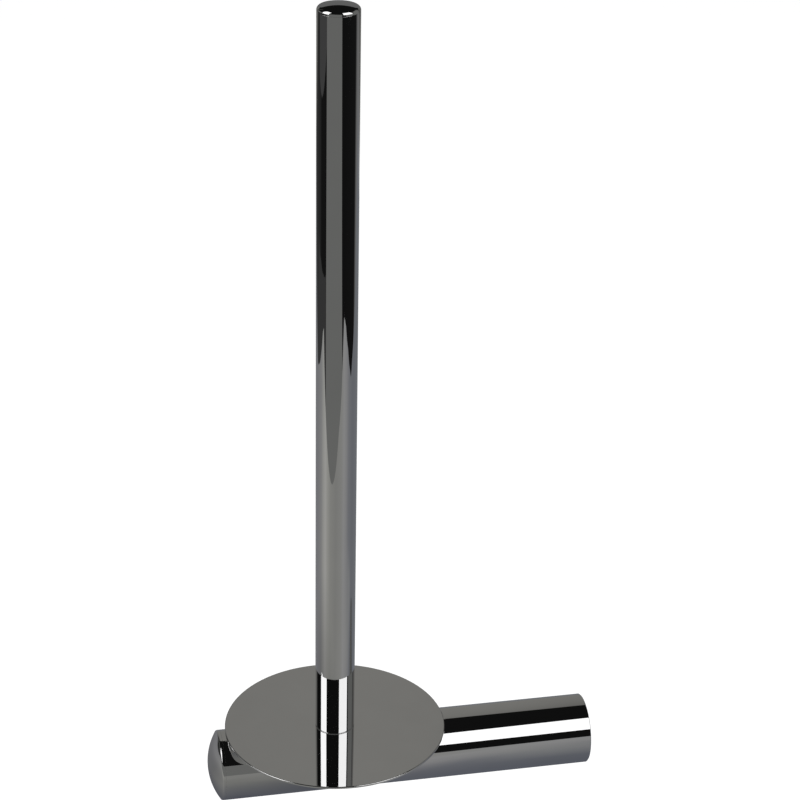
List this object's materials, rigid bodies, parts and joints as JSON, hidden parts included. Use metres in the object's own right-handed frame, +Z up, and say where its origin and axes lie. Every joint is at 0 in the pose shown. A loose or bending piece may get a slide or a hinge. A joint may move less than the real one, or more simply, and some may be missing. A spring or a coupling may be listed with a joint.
{
  "type": "toilet roll dispenser",
  "caption": "Wall-mounted upright holder for spare toilet rolls: a tall rod on a thin round plate, carried by a horizontal tube that stands out from the wall.",
  "frame": {"origin": "centre of the arm tube where it meets the wall, on the plane of the wall", "axes": "+Y points into the wall, the arm runs out along -Y, +Z is up along the rod, +X is to the right seen from in front"},
  "size_m": [0.11, 0.1937, 0.4066],
  "materials": {
    "polished_chrome": "mirror polished chrome plating",
    "turned_brass": "plain turned brass",
    "plated_steel": "zinc plated steel",
    "screw_steel": "plain stainless steel"
  },
  "bodies": {
    "wall_bracket": {"wall_spigot": "plated_steel"},
    "holder": {"arm_tube": "polished_chrome", "arm_front_cap": "polished_chrome", "rod_tube": "polished_chrome", "rod_top_cap": "polished_chrome", "roll_plate": "polished_chrome", "rod_foot": "turned_brass", "saddle_nut": "turned_brass", "rod_stud": "plated_steel"},
    "locking_screw": {"grub_screw": "screw_steel"}
  },
  "joints": [
    {"name": "holder_off", "type": "slide", "parent": "wall_bracket", "child": "holder", "axis": [0, -1, 0], "range_m": [0, 0.024]},
    {"name": "grub_screw_out", "type": "slide", "parent": "holder", "child": "locking_screw", "axis": [0, 0, -1], "range_m": [0, 0.0025]}
  ]
}
